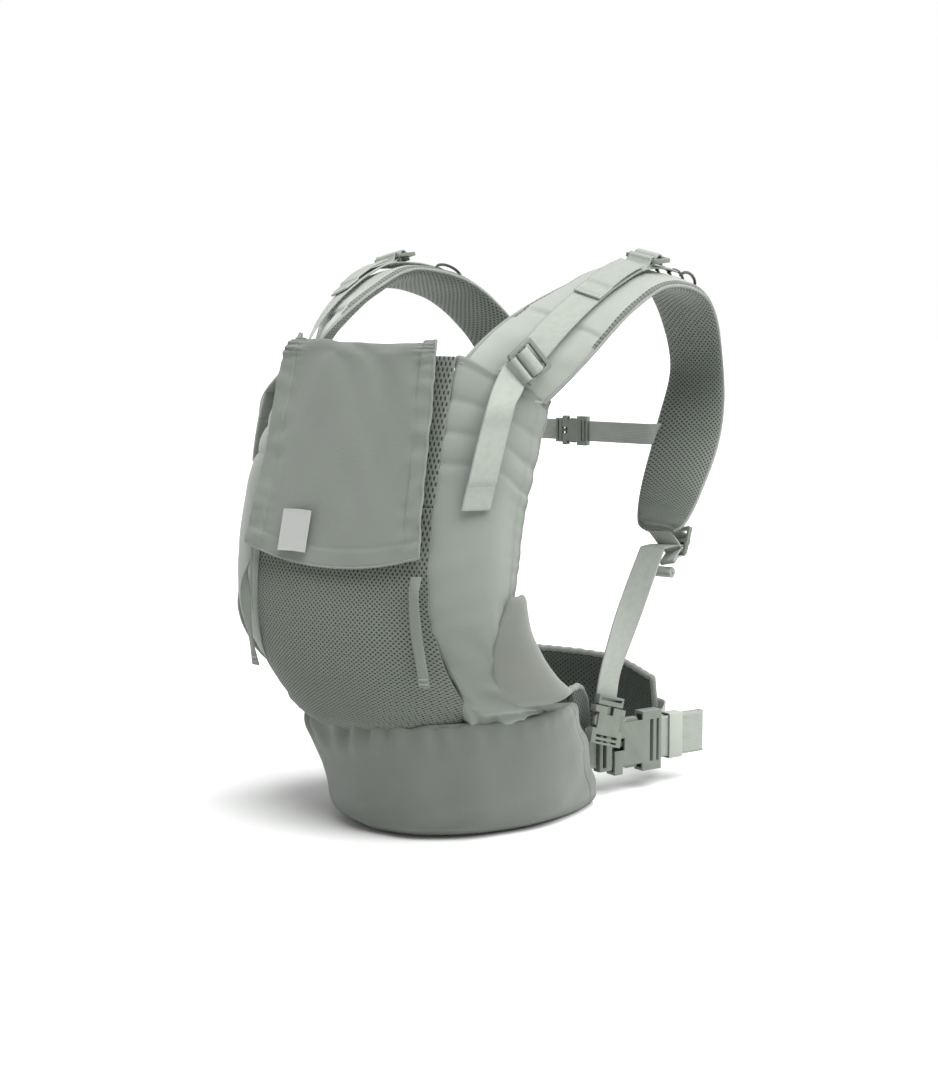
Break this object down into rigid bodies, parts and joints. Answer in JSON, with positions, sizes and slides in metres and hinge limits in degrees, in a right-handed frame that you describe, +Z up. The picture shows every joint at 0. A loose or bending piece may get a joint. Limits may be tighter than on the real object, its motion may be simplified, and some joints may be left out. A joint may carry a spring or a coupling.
{
  "type": "soft baby carrier",
  "caption": "Soft structured child carrier with mesh seat, hood flap, padded shoulder straps, chest strap and waist belt.",
  "frame": {"origin": "under the middle of the carrier, on the surface its waist hem stands on", "axes": "+Z up, -Y the side facing away from the wearer, +X the wearer's left"},
  "size_m": [0.346, 0.4482, 0.5131],
  "materials": {
    "cloth": "smooth sage-grey woven cotton",
    "spacer_mesh": "open spacer mesh",
    "webbing": "ribbed woven webbing",
    "moulded_plastic": "satin moulded acetal",
    "label": "silvery woven label",
    "elastic": "black elastic cord"
  },
  "bodies": {
    "carrier": {"belt_wing_left": "spacer_mesh", "belt_wing_right": "spacer_mesh", "elastic_loop_left": "elastic", "elastic_loop_right": "elastic", "front_tail_left": "webbing", "front_tail_right": "webbing", "hip_left_buckle_socket": "moulded_plastic", "hip_right_buckle_socket": "moulded_plastic", "hood_flap": "cloth", "hood_tape_left": "cloth", "hood_tape_right": "cloth", "leg_cushion_left": "cloth", "leg_cushion_right": "cloth", "lower_webbing_left": "webbing", "lower_webbing_right": "webbing", "rolled_webbing_left": "webbing", "rolled_webbing_right": "webbing", "seat_mesh_panel": "spacer_mesh", "shoulder_pad_left": "cloth", "shoulder_pad_right": "cloth", "side_panel_left": "cloth", "side_panel_right": "cloth", "top_tail_left": "webbing", "top_tail_right": "webbing", "top_webbing_left": "webbing", "top_webbing_right": "webbing", "waist_belt": "cloth", "waist_buckle_tongue": "moulded_plastic", "waist_webbing_left": "webbing", "woven_label": "label"},
    "front_adjuster_left": {"front_adjuster_left": "moulded_plastic"},
    "front_adjuster_right": {"front_adjuster_right": "moulded_plastic"},
    "top_adjuster_left": {"top_adjuster_left": "moulded_plastic"},
    "top_adjuster_right": {"top_adjuster_right": "moulded_plastic"},
    "lower_adjuster_left": {"lower_adjuster_left": "moulded_plastic"},
    "lower_adjuster_right": {"lower_adjuster_right": "moulded_plastic"},
    "waist_socket": {"waist_buckle_socket": "moulded_plastic", "waist_tail": "webbing", "waist_webbing_right": "webbing"},
    "waist_keeper": {"waist_webbing_keeper": "webbing"},
    "waist_buckle_upper_arm": {"waist_buckle_upper_arm": "moulded_plastic"},
    "waist_buckle_lower_arm": {"waist_buckle_lower_arm": "moulded_plastic"},
    "chest_strap": {"chest_webbing_left": "webbing", "chest_webbing_right": "webbing", "chest_buckle_socket": "moulded_plastic"},
    "chest_tongue": {"chest_buckle_tongue": "moulded_plastic"},
    "chest_buckle_upper_arm": {"chest_buckle_upper_arm": "moulded_plastic"},
    "chest_buckle_lower_arm": {"chest_buckle_lower_arm": "moulded_plastic"},
    "hip_tongue_left": {"hip_left_buckle_tongue": "moulded_plastic"},
    "hip_left_buckle_upper_arm": {"hip_left_buckle_upper_arm": "moulded_plastic"},
    "hip_left_buckle_lower_arm": {"hip_left_buckle_lower_arm": "moulded_plastic"},
    "hip_tongue_right": {"hip_right_buckle_tongue": "moulded_plastic"},
    "hip_right_buckle_upper_arm": {"hip_right_buckle_upper_arm": "moulded_plastic"},
    "hip_right_buckle_lower_arm": {"hip_right_buckle_lower_arm": "moulded_plastic"}
  },
  "joints": [
    {"name": "front_adjuster_left_tilt", "type": "hinge", "parent": "carrier", "child": "front_adjuster_left", "pos_m": [0.12434, -0.11967, 0.41189], "axis": [0.4346, 0.4569, -0.7761], "range_deg": [0, 35]},
    {"name": "front_adjuster_right_tilt", "type": "hinge", "parent": "carrier", "child": "front_adjuster_right", "pos_m": [-0.12434, -0.11967, 0.41189], "axis": [0.4346, -0.4569, 0.7761], "range_deg": [0, 35]},
    {"name": "top_adjuster_left_tilt", "type": "hinge", "parent": "carrier", "child": "top_adjuster_left", "pos_m": [0.14321, 0.04805, 0.50633], "axis": [0.9738, 0.0239, -0.2261], "range_deg": [0, 35]},
    {"name": "top_adjuster_right_tilt", "type": "hinge", "parent": "carrier", "child": "top_adjuster_right", "pos_m": [-0.14321, 0.04805, 0.50633], "axis": [0.9738, -0.0239, 0.2261], "range_deg": [0, 35]},
    {"name": "lower_adjuster_left_tilt", "type": "hinge", "parent": "carrier", "child": "lower_adjuster_left", "pos_m": [0.126, 0.14884, 0.226], "axis": [-0.8768, 0.4384, -0.1973], "range_deg": [0, 35]},
    {"name": "lower_adjuster_right_tilt", "type": "hinge", "parent": "carrier", "child": "lower_adjuster_right", "pos_m": [-0.126, 0.14884, 0.226], "axis": [-0.8768, -0.4384, 0.1973], "range_deg": [0, 35]},
    {"name": "waist_buckle_release", "type": "slide", "parent": "carrier", "child": "waist_socket", "axis": [0.3489, 0.9371, 0], "range_m": [0, 0.034]},
    {"name": "waist_keeper_slide", "type": "slide", "parent": "waist_socket", "child": "waist_keeper", "axis": [0.3489, 0.9371, 0], "range_m": [0, 0.018]},
    {"name": "waist_upper_arm_pinch", "type": "hinge", "parent": "carrier", "child": "waist_buckle_upper_arm", "pos_m": [0.09493, 0.08047, 0.063], "axis": [-0.9371, 0.3489, 0], "range_deg": [0, 6.5], "stiffness_Nm_per_rad": 0.02},
    {"name": "waist_lower_arm_pinch", "type": "hinge", "parent": "carrier", "child": "waist_buckle_lower_arm", "pos_m": [0.09493, 0.08047, 0.031], "axis": [0.9371, -0.3489, 0], "range_deg": [0, 6.5], "stiffness_Nm_per_rad": 0.02},
    {"name": "chest_strap_height", "type": "slide", "parent": "carrier", "child": "chest_strap", "axis": [0, 0.18, 0.9837], "range_m": [0, 0.035]},
    {"name": "chest_buckle_release", "type": "slide", "parent": "chest_strap", "child": "chest_tongue", "axis": [-1, 0, 0], "range_m": [0, 0.017]},
    {"name": "chest_upper_arm_pinch", "type": "hinge", "parent": "chest_tongue", "child": "chest_buckle_upper_arm", "pos_m": [-0.023, 0.18084, 0.344], "axis": [0, 1, 0], "range_deg": [0, 6.5], "stiffness_Nm_per_rad": 0.02},
    {"name": "chest_lower_arm_pinch", "type": "hinge", "parent": "chest_tongue", "child": "chest_buckle_lower_arm", "pos_m": [-0.023, 0.18084, 0.328], "axis": [0, -1, 0], "range_deg": [0, 6.5], "stiffness_Nm_per_rad": 0.02},
    {"name": "hip_left_buckle_release", "type": "slide", "parent": "carrier", "child": "hip_tongue_left", "axis": [0, 0.3011, 0.9536], "range_m": [0, 0.021]},
    {"name": "hip_left_upper_arm_pinch", "type": "hinge", "parent": "hip_tongue_left", "child": "hip_left_buckle_upper_arm", "pos_m": [0.11035, 0.06672, 0.08666], "axis": [-0.9424, 0.3191, -0.1008], "range_deg": [0, 6.5], "stiffness_Nm_per_rad": 0.02},
    {"name": "hip_left_lower_arm_pinch", "type": "hinge", "parent": "hip_tongue_left", "child": "hip_left_buckle_lower_arm", "pos_m": [0.10365, 0.04875, 0.09233], "axis": [0.9424, -0.3191, 0.1008], "range_deg": [0, 6.5], "stiffness_Nm_per_rad": 0.02},
    {"name": "hip_right_buckle_release", "type": "slide", "parent": "carrier", "child": "hip_tongue_right", "axis": [0, 0.3011, 0.9536], "range_m": [0, 0.021]},
    {"name": "hip_right_upper_arm_pinch", "type": "hinge", "parent": "hip_tongue_right", "child": "hip_right_buckle_upper_arm", "pos_m": [-0.11765, 0.04875, 0.09233], "axis": [0.9424, 0.3191, -0.1008], "range_deg": [0, 6.5], "stiffness_Nm_per_rad": 0.02},
    {"name": "hip_right_lower_arm_pinch", "type": "hinge", "parent": "hip_tongue_right", "child": "hip_right_buckle_lower_arm", "pos_m": [-0.12435, 0.06672, 0.08666], "axis": [-0.9424, -0.3191, 0.1008], "range_deg": [0, 6.5], "stiffness_Nm_per_rad": 0.02}
  ],
  "couplings": [
    {"joint": "waist_lower_arm_pinch", "follows": "waist_upper_arm_pinch", "ratio": 1},
    {"joint": "chest_lower_arm_pinch", "follows": "chest_upper_arm_pinch", "ratio": 1},
    {"joint": "hip_left_lower_arm_pinch", "follows": "hip_left_upper_arm_pinch", "ratio": 1},
    {"joint": "hip_right_lower_arm_pinch", "follows": "hip_right_upper_arm_pinch", "ratio": 1}
  ]
}
